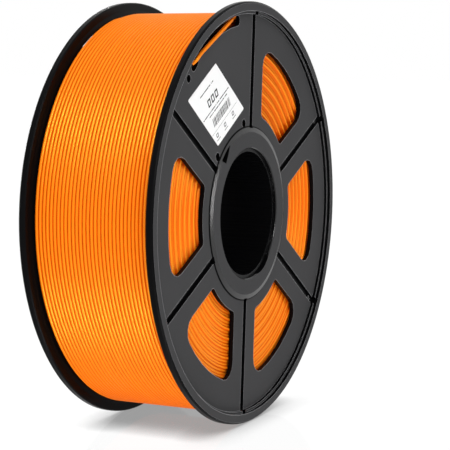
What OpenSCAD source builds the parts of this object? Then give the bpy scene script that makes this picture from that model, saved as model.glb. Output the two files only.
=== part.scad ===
// Filament reel for 1.75 mm printing filament: two moulded flanges on a hub
// barrel and a bore sleeve, wound nearly full, with the free end threaded
// through the slot of the front flange.
// Frame: the reel's axis is Y, the origin is the middle of the bore, +Z is up.
// The front flange, which carries the label, faces -Y.
// Radial sizes are measured from the axis, and heights along the axis from the
// middle plane. Angles run from +X towards +Z.

/* [Reel] */
// Outer diameter of both flanges
reel_d = 200; // [190:1:215]
// Width over both rims
reel_w = 67; // [62:0.5:90]
// Diameter of the bore
bore_d = 59; // [50:0.5:61]

/* [Rim] */
// Thickness of a rim along the axis
rim_t = 3.6; // [3:0.1:5]
// Radial width of the raised rim
rim_w = 4.4; // [3:0.1:6]
// Bevel on the outer edge of the rim's face
rim_bevel = 0.8; // [0.2:0.1:1.2]
// Bevel on the back edge of the rim
rim_back_bevel = 0.5; // [0.2:0.1:0.8]
// Radial width of the ledge inside the rim
ledge_w = 1.3; // [0.6:0.1:2]
// Drop from the rim's face to the ledge
ledge_drop = 1.6; // [0.8:0.1:2.2]

/* [Panel] */
// Drop from the rim's face to the panel
panel_drop = 3; // [2.6:0.1:4]
// Thickness of the panel
panel_t = 2.2; // [2:0.1:3]
// Radial length of the flare from the panel's back out to the rim's back
flare_len = 6; // [4.5:0.5:9]
// Turn of the whole pattern about the axis, in degrees
pattern_turn = -4.4; // [-20:0.1:20]
// Sectors of the pattern, one of them plain, the others with a window
sectors = 6; // [5:1:7]

/* [Grooves] */
// Width of a radial groove
groove_w = 3.4; // [1.5:0.1:5]
// Depth of a radial groove
groove_depth = 1.4; // [0.6:0.1:1.6]
// Least wall left behind a groove
groove_wall = 0.5; // [0.4:0.1:0.6]

/* [Windows] */
// Radius of a window's inner edge
window_in_r = 47.6; // [46:0.2:56]
// Distance from the reel's edge to a window's outer edge
window_edge = 19.8; // [18:0.2:26]
// Width of the spoke between two windows
spoke_w = 23; // [18:0.5:28]
// Radius of a window's two outer corners
window_out_corner = 7.5; // [3:0.5:8]
// Radius of a window's two inner corners
window_in_corner = 2.5; // [1:0.1:4]

/* [Hub] */
// Diameter of the raised hub ring at its foot
hub_ring_d = 82; // [80:0.5:84]
// Height of the hub ring above the panel
hub_ring_h = 0.9; // [0.5:0.1:1.6]
// Height of the upright wall at the hub ring's foot
hub_ring_wall = 0.4; // [0.1:0.1:0.4]
// Radial width of the slope above that wall
hub_ring_slope = 2.3; // [1:0.1:3]
// Chamfer round the hole of the hub ring
hub_chamfer = 0.4; // [0.1:0.1:0.8]
// Outer diameter of the hub barrel
barrel_d = 86; // [84:0.5:90]
// Wall of the hub barrel
barrel_t = 2; // [1.6:0.1:3]
// Wall of the bore sleeve
sleeve_t = 1.5; // [1.2:0.1:2]
// Drop from the panel's face to the end of the bore sleeve
sleeve_drop = 0.6; // [0:0.1:1.2]
// Height of the boss that centres the barrel on a flange
boss_h = 2.5; // [1.5:0.5:6]
// Radial clearance of the bosses and of the bore sleeve
fit_gap = 0.1; // [0.05:0.05:0.3]
// Radial depth of the latch notch beside the bore
latch_notch = 1.2; // [0.4:0.1:1.6]
// Depth of the latch wedge in the face of the hub ring
latch_wedge_depth = 1.8; // [0.5:0.1:2]
// Distance from the hub ring's foot to the outer edge of the latch wedge
latch_wedge_rim = 1.3; // [0.8:0.1:2]
// Radial width of the latch wedge at its tip
latch_tip_w = 3.9; // [3:0.1:5]
// Radial width of the latch wedge at its bend
latch_bend_w = 2.4; // [1.5:0.1:2.9]

/* [Filament slots] */
// Width of the long slot
slot_w = 4.8; // [4.2:0.1:5.4]
// Gap from the slot's outer edge to the wall of the ledge
slot_gap = 0.3; // [0.1:0.1:1]
// Angle from the plain sector's middle back to the start of the long slot
slot_start = 20.1; // [16:0.1:22]
// Angle from the plain sector's middle on to the end of the long slot
slot_end = 7.9; // [0:0.1:8]
// Width of the tuck hole that takes the filament's tip
tuck_w = 4.6; // [4.2:0.1:5]
// Step of the tuck hole's inner edge towards the hub from the slot's
tuck_step = 1.6; // [0.5:0.1:2.5]
// Angle from the plain sector's middle to the start of the tuck hole
tuck_start = 9.3; // [9:0.1:9.6]
// Angle from the plain sector's middle to the end of the tuck hole
tuck_end = 14.1; // [13.6:0.1:14.6]
// Radius of the corners of the slot and the tuck hole
slot_corner = 2; // [1:0.1:2]
// Diameter of the round storage hole
storage_hole_d = 3.8; // [3:0.1:4.6]
// Distance from the slot's inner edge in to the storage hole's centre
storage_hole_step = 0.3; // [0:0.1:2]
// Angle from the plain sector's middle to the storage hole
storage_hole_angle = 17.2; // [17:0.1:22]
// Diameter of the two sight holes beside the hub ring
sight_hole_d = 4; // [2:0.1:4.2]
// Gap from the hub ring's foot to the sight holes
sight_hole_gap = 0.3; // [0.2:0.1:1]
// Angle from the plain sector's middle to the point midway between them
sight_turn = 1.2; // [-3:0.1:3]
// Angle from that point to each sight hole
sight_spread = 21; // [15:0.5:24]

/* [Label] */
// Side of the label along its lines of print
label_w = 31.6; // [24:0.2:33]
// Other side of the label
label_h = 36.5; // [28:0.5:38]
// Angle between the label's two sides
label_corner = 66.3; // [60:0.1:72]
// Turn of the lines of print from square to the plain sector
label_turn = 4.7; // [-4:0.1:10]
// Distance of the label's centre towards the hub from midway between the hub
// ring and the slots
label_in = 2.8; // [1.5:0.1:3]
// Angle from the plain sector's middle to the label's centre
label_offset = 6.4; // [4:0.1:8]
// Thickness of the label
label_t = 0.2; // [0.1:0.05:0.5]

/* [Winding] */
// Diameter of the filament
filament_d = 1.75; // [1.6:0.05:1.8]
// Depth of the winding's outside below the flanges' edge
wound_depth = 5.2; // [4.8:0.1:12]
// Loops in the outermost layer
loops = 24; // [12:1:24]
// Clearance between the winding and the flanges
wound_gap = 0.2; // [0.1:0.05:0.4]
// Angle from the plain sector's middle back to the end of the outermost layer
layer_back = 25.6; // [25:0.1:28]
// Layers to one ridge on the sides of the winding
ridge_layers = 3; // [2:1:6]
// Depth of the valleys between those ridges
ridge_depth = 1.7; // [0.4:0.1:2.4]

/* [Hidden] */

shell_colour = [0.27, 0.27, 0.27];
hub_colour = [0.12, 0.12, 0.12];
filament_colour = [1, 0.49, 0.1];
label_colour = [0.96, 0.96, 0.96];

$fn = 144;
past = 1;            // how far a cutter passes the face that it opens
arc_step = 6;        // most degrees between the points of a computed arc
corner_points = 4;   // steps round a rounded corner
hole_sides = 12;

// Heights above the middle plane, along the axis
face_u = reel_w / 2;
rim_back_u = face_u - rim_t;
ledge_u = face_u - ledge_drop;
panel_u = face_u - panel_drop;
panel_back_u = panel_u - panel_t;
hub_u = panel_u + hub_ring_h;
sleeve_u = panel_u - sleeve_drop;
through_u = panel_back_u - boss_h - past;
through_h = face_u - through_u + past;

// Radii
rim_r = reel_d / 2;
rim_in_r = rim_r - rim_w;
ledge_in_r = rim_in_r - ledge_w;
flare_out_r = rim_r - rim_t;
flare_in_r = flare_out_r - flare_len;
hub_foot_r = hub_ring_d / 2;
hub_top_r = hub_foot_r - hub_ring_slope;
bore_r = bore_d / 2;
sleeve_r = bore_r + sleeve_t;
hub_hole_r = sleeve_r + fit_gap;
barrel_r = barrel_d / 2;
barrel_in_r = barrel_r - barrel_t;
boss_r = barrel_in_r - fit_gap;
slot_out_r = ledge_in_r - slot_gap;
slot_in_r = slot_out_r - slot_w;
tuck_in_r = slot_in_r - tuck_step;
storage_hole_r = slot_in_r - storage_hole_step;
sight_hole_r = hub_foot_r + sight_hole_gap + sight_hole_d / 2;
window_out_r = rim_r - window_edge;
label_r = (hub_foot_r + slot_in_r) / 2 - label_in;

// The pattern
sector = 360 / sectors;
plain_mid = 90 + pattern_turn + sector / 2;
groove_lap = 0.4;    // how far the grooves reach into the hub ring and the rim
flare_slope = (rim_back_u - panel_back_u) / flare_len;
groove_floor_u = panel_u - min(groove_depth, panel_t - groove_wall);

// The winding
filament_r = filament_d / 2;
turn_r = rim_r - wound_depth - filament_r;
turn_u = flare_u(turn_r - filament_r) - filament_r - wound_gap;
loop_rings = 18;
turn_sides = 6;
turn_rest = 0.15;    // clearance between the turns and the flats of the pack
pack_r = turn_r - (filament_r + turn_rest) / cos(180 / loop_rings);
pack_u = panel_back_u - wound_gap;
ridge_step = ridge_layers * filament_d * sin(60);   // each layer lies in the gaps of the last
ridges = round((window_out_r - window_in_r) / ridge_step);
ridge_start_r = (window_in_r + window_out_r - ridges * ridge_step) / 2;
layer_end = plain_mid - layer_back;
layer_start = layer_end - 360 * loops;
climb_bend = 2.2;    // bend radius where the strand climbs to this layer
climb_steps = 5;
climb_room = 0.3;    // clearance of the pocket round that bend
climb_floor_r = turn_r - climb_bend - filament_d;
climb_u = pack_u - filament_r;

// Latch marks on the hub ring, in degrees: a notch beside the bore and a wedge
latch_notch_span = 32;
latch_notch_angle = -59.5;
latch_wedge_start = 6;
latch_wedge_bend = 11.9;
latch_wedge_tip = 18.9;
latch_wedge_end = 21.6;

// A point across the axis, at radius r and angle a
function polar(r, a) = [r * cos(a), r * sin(a)];

// Points of an arc about centre c
function arc(c, r, a0, a1, n) = [for (i = [0:n]) c + polar(r, a0 + (a1 - a0) * i / n)];

// Height of a flange's back at radius r
function flare_u(r) =
    panel_back_u + flare_slope * max(0, min(r, flare_out_r) - flare_in_r);

// A window's corner radius, kept to a quarter of the window
function window_corner(r) = min(r, (window_out_r - window_in_r) / 4);

// Angle, from a window's middle, of the point at radius r that lies at
// distance d from the centre line of the spoke
function side_angle(r, d) = sector / 2 - asin(d / r);

// A window about the +X axis: two arcs round the reel's axis, joined by two
// sides parallel to the spokes, with a rounded corner at each meeting
function window_outline() =
    let (out_c = window_corner(window_out_corner),
         in_c = window_corner(window_in_corner),
         out_r = window_out_r - out_c,
         in_r = window_in_r + in_c,
         out_a = side_angle(out_r, spoke_w / 2 + out_c),
         in_a = side_angle(in_r, spoke_w / 2 + in_c),
         side = sector / 2 + 90,
         n = ceil(2 * out_a / arc_step))
    concat(arc([0, 0], window_out_r, -out_a, out_a, n),
           arc(polar(out_r, out_a), out_c, out_a, side, corner_points),
           arc(polar(in_r, in_a), in_c, side, 180 + in_a, corner_points),
           arc([0, 0], window_in_r, in_a, -in_a, n),
           arc(polar(in_r, -in_a), in_c, 180 - in_a, 360 - side, corner_points),
           arc(polar(out_r, -out_a), out_c, -side, -out_a, corner_points));

// A slot round the axis from radius r0 to r1 and from angle a0 to a1
function slot_outline(r0, r1, a0, a1) =
    let (c = min(slot_corner, (r1 - r0) / 2 - 0.1),
         d0 = asin(c / (r0 + c)),
         d1 = asin(c / (r1 - c)),
         n = ceil((a1 - a0) / arc_step))
    concat(arc([0, 0], r1, a0 + d1, a1 - d1, n),
           arc(polar(r1 - c, a1 - d1), c, a1 - d1, a1 + 90, corner_points),
           arc(polar(r0 + c, a1 - d0), c, a1 + 90, a1 - d0 + 180, corner_points),
           arc([0, 0], r0, a1 - d0, a0 + d0, n),
           arc(polar(r0 + c, a0 + d0), c, a0 + d0 + 180, a0 + 270, corner_points),
           arc(polar(r1 - c, a0 + d1), c, a0 - 90, a0 + d1, corner_points));

// Half of a flange's cross-section, as radius and height
function flange_section() = [
    [hub_hole_r, panel_back_u - boss_h],
    [boss_r, panel_back_u - boss_h],
    [boss_r, panel_back_u],
    [flare_in_r, panel_back_u],
    [flare_out_r, rim_back_u],
    [rim_r - rim_back_bevel, rim_back_u],
    [rim_r, rim_back_u + rim_back_bevel],
    [rim_r, face_u - rim_bevel],
    [rim_r - rim_bevel, face_u],
    [rim_in_r, face_u],
    [rim_in_r, ledge_u],
    [ledge_in_r, ledge_u],
    [ledge_in_r, panel_u],
    [hub_foot_r, panel_u],
    [hub_foot_r, panel_u + hub_ring_wall],
    [hub_top_r, hub_u],
    [hub_hole_r + hub_chamfer, hub_u],
    [hub_hole_r, hub_u - hub_chamfer]
];

// Stands a shape made about +Z, with its outside up, at the front of the reel
module to_front() rotate([90, 0, 0]) children();

module through(outline) {
    translate([0, 0, through_u]) linear_extrude(through_h) polygon(outline);
}

// A round hole through the flange at radius r and angle a
module drill(d, r, a) {
    rotate(a) translate([r, 0, through_u])
        cylinder(d = d, h = through_h, $fn = hole_sides);
}

module windows() {
    for (i = [1:sectors - 1])
        rotate(plain_mid + i * sector) through(window_outline());
}

// The grooves stop at the rim, and their floor rises with the flange's back
module grooves() {
    start_r = hub_foot_r - groove_lap;
    end_r = rim_in_r + groove_lap;
    top_u = face_u - groove_lap;
    end_u = max(groove_floor_u, flare_u(end_r) + groove_wall);
    rise_r = flare_in_r
        + (groove_floor_u - groove_wall - panel_back_u) / flare_slope;
    intersection() {
        rotate_extrude() polygon([
            [start_r, groove_floor_u], [min(rise_r, rim_in_r), groove_floor_u],
            [end_r, end_u], [end_r, top_u], [start_r, top_u]
        ]);
        for (i = [0:sectors - 1])
            rotate(plain_mid + (i + 0.5) * sector)
                translate([0, -groove_w / 2, panel_back_u])
                    cube([rim_r, groove_w, through_h]);
    }
}

module filament_openings() {
    rotate(plain_mid) {
        through(slot_outline(slot_in_r, slot_out_r, -slot_start, slot_end));
        through(slot_outline(tuck_in_r, tuck_in_r + tuck_w, tuck_start, tuck_end));
        drill(storage_hole_d, storage_hole_r, storage_hole_angle);
    }
    for (side = [-1, 1])
        drill(sight_hole_d, sight_hole_r, plain_mid + sight_turn + side * sight_spread);
}

// The notch is where a smaller circle reaches past the hub hole
module latch_marks() {
    reach = hub_hole_r + latch_notch;
    notch_c = (reach * reach - hub_hole_r * hub_hole_r)
        / (2 * (reach - hub_hole_r * cos(latch_notch_span / 2)));
    wedge_r = hub_foot_r - latch_wedge_rim;
    rotate(latch_notch_angle) translate([notch_c, 0, through_u])
        cylinder(r = reach - notch_c, h = through_h);
    rotate(plain_mid) translate([0, 0, hub_u - latch_wedge_depth])
        linear_extrude(latch_wedge_depth + past)
            polygon(concat(arc([0, 0], wedge_r, latch_wedge_start, latch_wedge_end,
                               corner_points),
                           [polar(wedge_r - latch_tip_w, latch_wedge_tip),
                            polar(wedge_r - latch_bend_w, latch_wedge_bend)]));
}

module flange() {
    difference() {
        rotate_extrude() polygon(flange_section());
        windows();
        grooves();
        filament_openings();
        latch_marks();
    }
}

module front_flange() {
    color(shell_colour) to_front() flange();
}

module rear_flange() {
    color(shell_colour) mirror([0, 1, 0]) to_front() flange();
}

module hub_barrel() {
    color(hub_colour) to_front() translate([0, 0, -panel_back_u]) difference() {
        cylinder(r = barrel_r, h = 2 * panel_back_u);
        translate([0, 0, -past]) cylinder(r = barrel_in_r, h = 2 * (panel_back_u + past));
    }
}

// Tube that lines the bore and is pressed into both flanges
module bore_sleeve() {
    color(hub_colour) to_front() translate([0, 0, -sleeve_u]) difference() {
        cylinder(r = sleeve_r, h = 2 * sleeve_u);
        translate([0, 0, -past]) cylinder(r = bore_r, h = 2 * (sleeve_u + past));
    }
}

// Half of the pack's outline, as radius and height: the ridges that its layers
// form behind the windows, and the edge of its outside
function pack_section() =
    concat([[barrel_r - past, pack_u], [ridge_start_r, pack_u]],
           [for (i = [1:ridges])
                each [[ridge_start_r + (i - 0.5) * ridge_step, pack_u - ridge_depth],
                      [ridge_start_r + i * ridge_step, pack_u]]],
           [[pack_r, pack_u]]);

// Inner layers of the winding as one body, whose flats lie under the turns'
// straight stretches, with a pocket where the strand climbs to the outermost layer
module filament_pack() {
    pocket_r = filament_r + climb_room;
    front = pack_section();
    outline = concat([for (p = front) [p[0], -p[1]]],
                     [for (i = [len(front) - 1:-1:0]) front[i]]);
    color(filament_colour) to_front() difference() {
        skin([for (p = outline) for (k = [0:loop_rings - 1])
                  concat(polar(p[0], layer_end - 360 * k / loop_rings), p[1])], loop_rings);
        translate([0, 0, -pack_u - past]) cylinder(r = barrel_r, h = 2 * (pack_u + past));
        rotate(layer_start) translate([climb_floor_r, -pocket_r, -climb_u - pocket_r])
            cube([pack_r - climb_floor_r + past, climb_bend + 2 * pocket_r, 2 * pocket_r]);
    }
}

// Centre line of the outermost layer: up out of the pack, a quarter bend that
// follows the flare, a helix of even pitch, and straight on for one diameter
function climb_point(a) =
    concat(polar(turn_r - climb_bend * (1 - sin(a)), layer_start)
           + polar(climb_bend * (1 - cos(a)), layer_start + 90),
           -climb_u - (turn_u - climb_u) * sin(a));

function turns_path() =
    let (lead = asin(climb_bend / turn_r))
    concat([concat(polar(climb_floor_r, layer_start), -climb_u)],
           [for (i = [0:climb_steps - 1]) climb_point(90 * i / climb_steps)],
           [for (i = [0:loops * loop_rings])
                let (a = max(lead, 360 * i / loop_rings))
                concat(polar(turn_r, layer_start + a), turn_u * (a / (180 * loops) - 1))],
           [concat(layer_end_point(1), turn_u)]);

// Point n filament diameters past the outermost layer's end
function layer_end_point(n) =
    polar(turn_r, layer_end) + polar(n * filament_d, layer_end + 90);

// Least distance between strands half a loop or more apart, less one diameter
function least_gap(path) =
    min([for (i = [0:len(path) - 1])
         for (j = [i + loop_rings / 2:1:min(i + 3 * loop_rings / 2, len(path) - 1)])
             norm(path[i] - path[j])]) - filament_d;

// The free end crosses the slot on a straight line. Its points are given from
// the middle of that line: along it, out from the axis, and up from it.
stretch_in = 1.2;    // distance of that line out from the slot's inner edge
stretch_gap = 0.08;  // clearance between the strand and the panel
stretch_r = slot_in_r + stretch_in;
stretch_u = panel_u + filament_r + stretch_gap;
end_sides = 6;
free_end = [
    [-34.5, -3.1, -3.4], [-31.4, -2.3, -3.2], [-28.2, -1.7, -2.5], [-25, -0.9, -1.4],
    [-22, -0.3, -0.5], [-18.5, 0, -0.1], [-14, 0, 0], [-9.5, 0, 0], [-5, 0, 0],
    [-0.5, 0, 0], [4, 0, 0], [8.5, 0, 0], [13.4, -0.1, 0], [15.6, -0.5, -0.1],
    [17.1, -1, -0.5], [18.2, -1.5, -1.2], [18.9, -1.9, -1.9]
];

function free_end_path() =
    concat([concat(layer_end_point(1), turn_u), concat(layer_end_point(2), turn_u)],
           [for (p = free_end)
                concat(polar(p[0], plain_mid + 90) + polar(stretch_r + p[1], plain_mid),
                       stretch_u + p[2])]);

function unit(v) = v / norm(v);

// Direction of a path at point i
function heading(path, i) =
    unit(path[min(i + 1, len(path) - 1)] - path[max(i - 1, 0)]);

// Triangulated skin over rings of equally many points, each joined to the next,
// with the first and the last one closed
module skin(points, sides) {
    last = len(points) - sides;
    walls = [for (i = [0:sides:last - sides]) for (k = [0:sides - 1])
        let (a = i + k, b = i + (k + 1) % sides)
        each [[a, b, a + sides], [b, b + sides, a + sides]]];
    caps = [for (k = [1:sides - 2])
        each [[0, k + 1, k], [last, last + k, last + k + 1]]];
    polyhedron(points = points, faces = concat(walls, caps));
}

// Tube of radius r along a path; up is a direction that the path never follows
module tube(path, r, sides, up) {
    skin([for (i = [0:len(path) - 1])
              let (t = heading(path, i), b = unit(cross(t, up)), m = cross(b, t))
              for (k = [0:sides - 1])
                  path[i] + r * (b * cos(360 * k / sides) + m * sin(360 * k / sides))],
         sides);
}

module filament_turns() {
    color(filament_colour) to_front() tube(turns_path(), filament_r, turn_sides, [0, 0, 1]);
}

module filament_end() {
    color(filament_colour) to_front()
        tube(free_end_path(), filament_r, end_sides, concat(polar(1, plain_mid), 0));
}

// A leaning sticker: its sides are along the print and at label_corner to it
module label() {
    print_a = plain_mid - 90 + label_turn;
    across = polar(label_w / 2, print_a);
    down = polar(label_h / 2, print_a - label_corner);
    color(label_colour) to_front()
        translate(concat(polar(label_r, plain_mid + label_offset), panel_u))
            linear_extrude(label_t)
                polygon([-across - down, down - across, across + down, across - down]);
}

echo(least_gap_between_turns = least_gap(turns_path()));

front_flange();
rear_flange();
hub_barrel();
bore_sleeve();
filament_pack();
filament_turns();
filament_end();
label();
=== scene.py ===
"""Filament reel, wound nearly full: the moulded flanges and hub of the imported
frame get their plastics, and the winding, its free end and the label are made
here at their full detail.

Frame: the reel's axis is Y, the origin is the middle of the bore, +Z is up and
the labelled flange faces -Y. Angles run about the axis from +X towards +Z, and
out is the distance from the middle plane towards the labelled flange.
"""
import math

import bpy
import numpy as np
from bpy.props import FloatProperty, FloatVectorProperty, IntProperty, PointerProperty
from mathutils import Matrix, Vector


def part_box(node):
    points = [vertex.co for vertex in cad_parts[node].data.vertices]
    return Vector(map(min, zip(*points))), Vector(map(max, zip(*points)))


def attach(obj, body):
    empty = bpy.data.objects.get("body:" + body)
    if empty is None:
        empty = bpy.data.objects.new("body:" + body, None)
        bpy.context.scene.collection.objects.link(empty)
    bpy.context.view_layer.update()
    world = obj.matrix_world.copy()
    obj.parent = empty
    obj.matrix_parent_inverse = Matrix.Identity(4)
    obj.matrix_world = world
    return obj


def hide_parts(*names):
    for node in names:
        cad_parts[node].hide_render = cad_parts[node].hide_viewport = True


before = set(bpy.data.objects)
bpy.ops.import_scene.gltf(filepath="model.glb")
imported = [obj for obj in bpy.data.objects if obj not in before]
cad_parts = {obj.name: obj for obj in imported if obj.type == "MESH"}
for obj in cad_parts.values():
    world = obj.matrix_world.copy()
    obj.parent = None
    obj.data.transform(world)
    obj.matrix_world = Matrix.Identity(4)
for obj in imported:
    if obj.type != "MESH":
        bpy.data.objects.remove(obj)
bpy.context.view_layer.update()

bl_info = {
    "name": "Filament Reel",
    "version": (1, 0, 0),
    "blender": (4, 5, 0),
    "location": "View3D > Sidebar > Reel",
    "description": "Dresses a wound filament reel around its packed frame",
    "category": "Object",
}

MM = 0.001

# Sizes read off the frame
REEL_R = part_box("front_flange")[1].x
FACE_OUT = -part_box("front_flange")[0].y
BARREL_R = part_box("hub_barrel")[1].x
PACK_OUT = -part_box("filament_pack")[0].y
LABEL_FACE = -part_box("label")[1].y
LABEL_T = -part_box("label")[0].y - LABEL_FACE

# Fixed places of the reel's moulding
PANEL_OUT = FACE_OUT - 3 * MM     # face of the panel, below the rim
FLARE_IN_R = REEL_R - 9.6 * MM    # where the flange's back starts to flare
FLARE_SLOPE = 1.6 / 6             # rise of the flange's back over the flare
PLAIN_MID = math.radians(115.6)   # angle of the middle of the sector that has no window
HUB_FOOT_R = 41 * MM              # foot of the ring round the bore
CHAMFER_R = 31.5 * MM             # outside of the chamfer at the bore
SLOT_ROOM = 5 * MM                # depth of the winding's hollow behind the filament slot


def linear(code):
    """A colour written as sRGB hex, such as #ff8800, as linear red, green and blue."""
    parts = [int(code[i:i + 2], 16) / 255 for i in (1, 3, 5)]
    return [c / 12.92 if c <= 0.04045 else ((c + 0.055) / 1.055) ** 2.4 for c in parts]


# ---------------------------------------------------------------- sizes and colours

class ReelWindingSettings(bpy.types.PropertyGroup):
    """Sizes of the winding"""
    diameter: FloatProperty(
        name="Filament diameter", description="Diameter of the strand",
        default=1.75 * MM, min=1.6 * MM, max=1.8 * MM, unit="LENGTH", precision=5)
    turns: IntProperty(
        name="Turns", description="Turns in the outermost layer", default=30, min=20, max=31)
    depth: FloatProperty(
        name="Depth", description="Depth of the winding's outside below the flanges' edge",
        default=5.2 * MM, min=4.8 * MM, max=12 * MM, unit="LENGTH", precision=5)
    end_room: FloatProperty(
        name="End room", description="From the inner layers' end in to the last turn's centre",
        default=0.17 * MM, min=0, max=0.5 * MM, unit="LENGTH", precision=5)
    layer_end: FloatProperty(
        name="End of layer", description="Angle at which the outermost layer ends",
        default=math.radians(90), unit="ROTATION")
    layer_step: FloatProperty(
        name="Layer step", description="Radial distance between two layers that nest",
        default=1.516 * MM, min=1.4 * MM, max=1.75 * MM, unit="LENGTH", precision=5)


class ReelLabelSettings(bpy.types.PropertyGroup):
    """Sizes of the label and its print"""
    width: FloatProperty(
        name="Width", description="Side of the label along its lines of print",
        default=31.6 * MM, unit="LENGTH", precision=5)
    height: FloatProperty(
        name="Height", description="Other side of the label",
        default=36.5 * MM, unit="LENGTH", precision=5)
    lean: FloatProperty(
        name="Lean", description="Angle between the label's two sides",
        default=math.radians(66.3), unit="ROTATION")
    turn: FloatProperty(
        name="Turn", description="Angle of the lines of print from +X",
        default=math.radians(30.3), unit="ROTATION")
    corner: FloatProperty(
        name="Corner", description="Radius of the label's corners",
        default=0.7 * MM, min=0.1 * MM, max=3 * MM, unit="LENGTH", precision=5)
    ink: FloatProperty(
        name="Ink", description="Thickness of the print", default=0.02 * MM,
        min=0.01 * MM, max=0.1 * MM, unit="LENGTH", precision=5)


class ReelFinishSettings(bpy.types.PropertyGroup):
    """Colours of the reel"""
    strand: FloatVectorProperty(
        name="Filament", description="Body colour of the filament",
        subtype="COLOR", default=linear("#f87604"))
    # Filament colour painted as shade in the gaps between strands; a little of it also mixes in at
    # random as tone
    strand_gap_shade: FloatVectorProperty(
        name="Filament gap", description="Filament colour in the gaps between strands",
        subtype="COLOR", default=linear("#e25000"))
    # A lighter filament colour on the inner layers' crests, as painted highlight
    strand_crest_highlight: FloatVectorProperty(
        name="Filament crest", description="Filament colour on the crests of the inner layers",
        subtype="COLOR", default=linear("#fd8e18"))
    strand_gloss: FloatVectorProperty(
        name="Filament gloss", description="Tint of the filament's highlights",
        subtype="COLOR", default=linear("#ffc246"))
    textured: FloatVectorProperty(
        name="Textured plastic", description="Black polystyrene with a spark texture",
        subtype="COLOR", default=linear("#3d3d3e"))
    polished: FloatVectorProperty(
        name="Polished plastic", description="Black polystyrene with a polished surface",
        subtype="COLOR", default=linear("#070708"))
    # Colour of the painted highlight along the black polystyrene's edges
    highlighted: FloatVectorProperty(
        name="Rubbed edges", description="Black polystyrene rubbed along its edges",
        subtype="COLOR", default=linear("#9a9a9c"))
    paper: FloatVectorProperty(
        name="Paper", description="Coated label paper", subtype="COLOR", default=linear("#f2f2f2"))
    print_ink: FloatVectorProperty(
        name="Print", description="Thermal print", subtype="COLOR", default=linear("#1d1d1f"))


class ReelStageSettings(bpy.types.PropertyGroup):
    """Camera, floor and lamps"""
    distance: FloatProperty(
        name="Camera distance", description="From the middle of the bore to the camera",
        default=766.09 * MM, unit="LENGTH")
    azimuth: FloatProperty(
        name="Azimuth", description="Camera's angle round the reel from straight in front",
        default=math.radians(-62.637), unit="ROTATION")
    elevation: FloatProperty(
        name="Elevation", description="Camera's angle above the middle of the bore",
        default=math.radians(6.154), unit="ROTATION")
    aim: FloatVectorProperty(
        name="Aim", description="Point that the camera looks at",
        subtype="XYZ", unit="LENGTH", default=(6.527 * MM, -15.178 * MM, -7.015 * MM))
    roll: FloatProperty(
        name="Roll", description="Camera's roll", default=math.radians(0.12), unit="ROTATION")
    lens: FloatProperty(
        name="Lens", description="Focal length in mm on a 36 mm sensor", default=126.475)
    lamp_level: FloatProperty(
        name="Lamps", description="Factor on the power of every lamp", default=1, min=0, max=4)
    world_level: FloatProperty(
        name="Sky", description="Strength of the even light from all round", default=0.35,
        min=0, max=2)


# ---------------------------------------------------------------- meshes

def new_piece(name, points, faces, replaced=(), smooth=True):
    """A mesh piece at the origin that rides on the reel. points is an (n, 3) array
    in metres."""
    mesh = bpy.data.meshes.new(name)
    mesh.from_pydata(points, [], faces)
    mesh.polygons.foreach_set("use_smooth", np.full(len(mesh.polygons), smooth))
    mesh.update()
    piece = bpy.data.objects.new(name, mesh)
    bpy.context.scene.collection.objects.link(piece)
    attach(piece, "root")
    if replaced:
        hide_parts(*replaced)
    return piece


def set_attribute(piece, name, values):
    """Gives every point of the piece a number that its material can read."""
    attribute = piece.data.attributes.new(name, "FLOAT", "POINT")
    attribute.data.foreach_set("value", np.asarray(values, np.float32).ravel())


def at(radius, angle, out):
    """Points at a radius and angle about the axis, and out from the middle plane:
    radius times the angle's cosine along X and its sine along Z, and -out along Y."""
    radius, angle, out = np.broadcast_arrays(radius, angle, out)
    return np.stack([radius * np.cos(angle), -out, radius * np.sin(angle)], axis=-1)


def grid_faces(rows, columns, wrap_rows, wrap_columns):
    """Four-sided faces over a grid of rows x columns points; point (i, j) is number
    i * columns + j. A wrapped direction is joined end to end."""
    i = np.arange(rows if wrap_rows else rows - 1)[:, None]
    j = np.arange(columns if wrap_columns else columns - 1)[None, :]
    i1, j1 = (i + 1) % rows, (j + 1) % columns
    corners = [i * columns + j, i1 * columns + j, i1 * columns + j1, i * columns + j1]
    return np.stack(np.broadcast_arrays(*corners), axis=-1).reshape(-1, 4)


def unit(vectors):
    """Each vector divided by its length."""
    return vectors / np.linalg.norm(vectors, axis=-1, keepdims=True)


def smooth_route(points, steps):
    """Points along the cubic that passes through every given point with a slope
    half the chord between that point's two neighbours, steps points per span."""
    p = np.asarray(points, float)
    ends = np.concatenate([[2 * p[0] - p[1]], p, [2 * p[-1] - p[-2]]])
    before, here, after, beyond = ends[:-3], ends[1:-2], ends[2:-1], ends[3:]
    s = (np.arange(steps) / steps)[None, :, None]
    a, b, c, d = (q[:, None, :] for q in (before, here, after, beyond))
    curve = 0.5 * (2 * b + (c - a) * s + (2 * a - 5 * b + 4 * c - d) * s ** 2
                   + (3 * b - a - 3 * c + d) * s ** 3)
    return np.concatenate([curve.reshape(-1, 3), p[-1:]])


def tube(route, radius, sides):
    """Points and faces of a closed tube with a ring of sides points round every
    point of the route: radius times (across times the turn's cosine, plus along
    times its sine). Across leads away from the reel's axis, square to the route,
    and along is square to both."""
    heading = unit(np.gradient(route, axis=0))
    outward = route * [1, 0, 1]
    across = unit(outward - (outward * heading).sum(1)[:, None] * heading)
    along = np.cross(heading, across)
    turn = np.arange(sides) * 2 * math.pi / sides
    rings = (route[:, None] + radius * (across[:, None] * np.cos(turn)[None, :, None]
                                        + along[:, None] * np.sin(turn)[None, :, None]))
    faces = grid_faces(len(route), sides, False, True)[:, ::-1].tolist()
    last = (len(route) - 1) * sides
    faces.append(list(range(sides - 1, -1, -1)))
    faces.append(list(range(last, last + sides)))
    return rings.reshape(-1, 3), faces


# ---------------------------------------------------------------- materials

def new_material(name):
    """An empty material and its node tree."""
    material = bpy.data.materials.new(name)
    material.use_nodes = True
    material.node_tree.nodes.clear()
    return material, material.node_tree


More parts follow.
